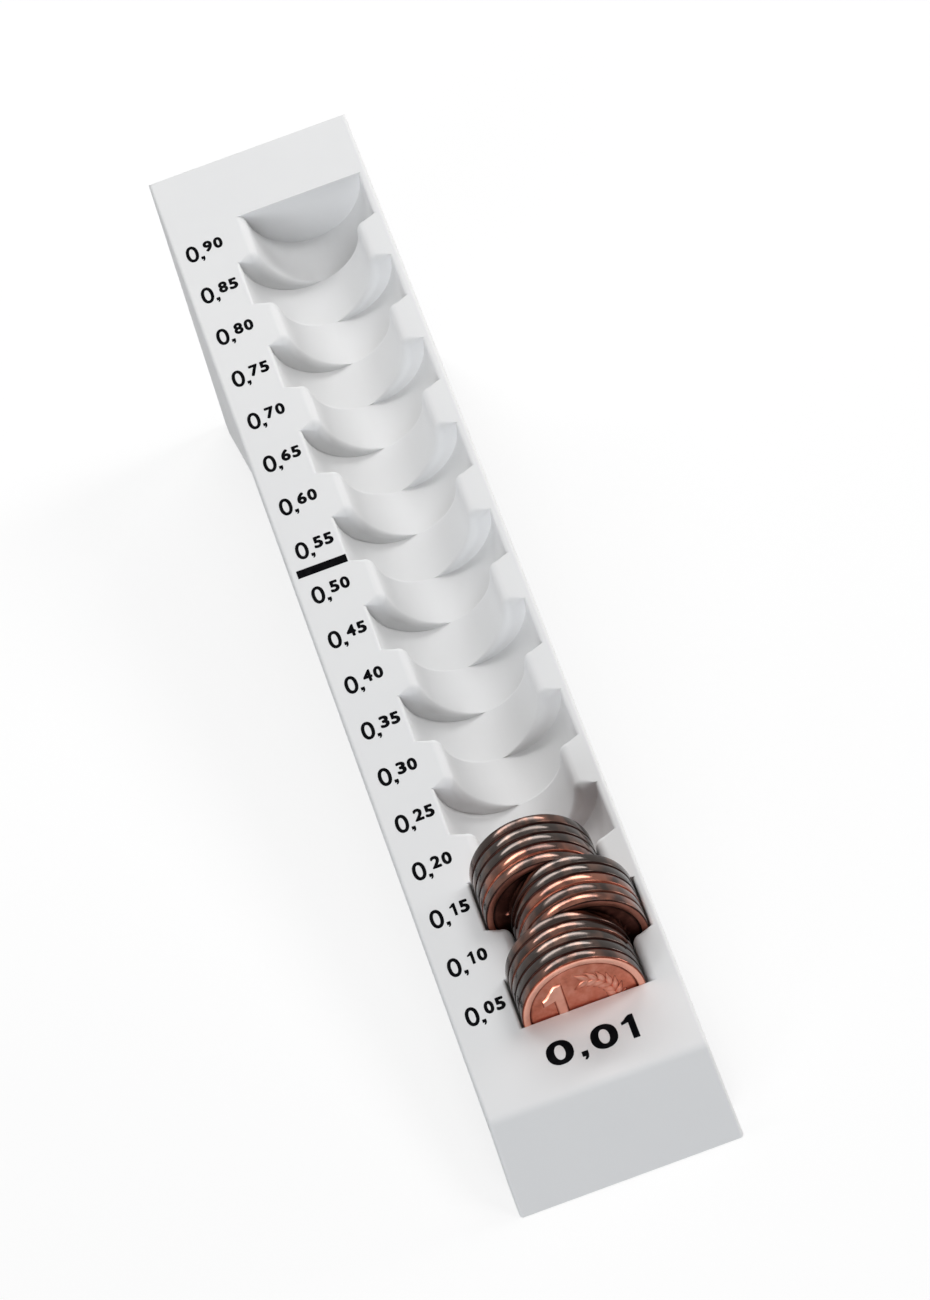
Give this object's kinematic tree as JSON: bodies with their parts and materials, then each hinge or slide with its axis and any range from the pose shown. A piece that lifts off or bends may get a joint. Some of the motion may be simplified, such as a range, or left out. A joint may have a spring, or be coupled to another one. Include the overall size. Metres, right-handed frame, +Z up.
{
  "type": "coin counting rail",
  "caption": "Sloped moulded rail with stepped half-round troughs that hold and count coins of one size, partly filled with copper coins that lift out.",
  "frame": {"origin": "middle of the footprint on the table", "axes": "+X to the right seen from the front, +Y to the high rear end, +Z up; the low nose faces -Y"},
  "size_m": [0.0318, 0.184, 0.0422],
  "materials": {
    "rail_plastic": "satin moulded polystyrene, light grey-white",
    "coin_copper": "worn copper plating on steel"
  },
  "bodies": {
    "rail": {"rail_body": "rail_plastic"},
    "coin_01": {"coin_01": "coin_copper"},
    "coin_02": {"coin_02": "coin_copper"},
    "coin_03": {"coin_03": "coin_copper"},
    "coin_04": {"coin_04": "coin_copper"},
    "coin_05": {"coin_05": "coin_copper"},
    "coin_06": {"coin_06": "coin_copper"},
    "coin_07": {"coin_07": "coin_copper"},
    "coin_08": {"coin_08": "coin_copper"},
    "coin_09": {"coin_09": "coin_copper"},
    "coin_10": {"coin_10": "coin_copper"},
    "coin_11": {"coin_11": "coin_copper"},
    "coin_12": {"coin_12": "coin_copper"},
    "coin_13": {"coin_13": "coin_copper"},
    "coin_14": {"coin_14": "coin_copper"},
    "coin_15": {"coin_15": "coin_copper"}
  },
  "joints": [
    {"name": "coin_01_lift", "type": "slide", "parent": "rail", "child": "coin_01", "axis": [0, -0.1219, 0.9925], "range_m": [0, 0.018]},
    {"name": "coin_02_lift", "type": "slide", "parent": "rail", "child": "coin_02", "axis": [0, -0.1219, 0.9925], "range_m": [0, 0.018]},
    {"name": "coin_03_lift", "type": "slide", "parent": "rail", "child": "coin_03", "axis": [0, -0.1219, 0.9925], "range_m": [0, 0.018]},
    {"name": "coin_04_lift", "type": "slide", "parent": "rail", "child": "coin_04", "axis": [0, -0.1219, 0.9925], "range_m": [0, 0.018]},
    {"name": "coin_05_lift", "type": "slide", "parent": "rail", "child": "coin_05", "axis": [0, -0.1219, 0.9925], "range_m": [0, 0.018]},
    {"name": "coin_06_lift", "type": "slide", "parent": "rail", "child": "coin_06", "axis": [0, -0.1219, 0.9925], "range_m": [0, 0.018]},
    {"name": "coin_07_lift", "type": "slide", "parent": "rail", "child": "coin_07", "axis": [0, -0.1219, 0.9925], "range_m": [0, 0.018]},
    {"name": "coin_08_lift", "type": "slide", "parent": "rail", "child": "coin_08", "axis": [0, -0.1219, 0.9925], "range_m": [0, 0.018]},
    {"name": "coin_09_lift", "type": "slide", "parent": "rail", "child": "coin_09", "axis": [0, -0.1219, 0.9925], "range_m": [0, 0.018]},
    {"name": "coin_10_lift", "type": "slide", "parent": "rail", "child": "coin_10", "axis": [0, -0.1219, 0.9925], "range_m": [0, 0.018]},
    {"name": "coin_11_lift", "type": "slide", "parent": "rail", "child": "coin_11", "axis": [0, -0.1219, 0.9925], "range_m": [0, 0.018]},
    {"name": "coin_12_lift", "type": "slide", "parent": "rail", "child": "coin_12", "axis": [0, -0.1219, 0.9925], "range_m": [0, 0.018]},
    {"name": "coin_13_lift", "type": "slide", "parent": "rail", "child": "coin_13", "axis": [0, -0.1219, 0.9925], "range_m": [0, 0.018]},
    {"name": "coin_14_lift", "type": "slide", "parent": "rail", "child": "coin_14", "axis": [0, -0.1219, 0.9925], "range_m": [0, 0.018]},
    {"name": "coin_15_lift", "type": "slide", "parent": "rail", "child": "coin_15", "axis": [0, -0.1219, 0.9925], "range_m": [0, 0.018]}
  ]
}
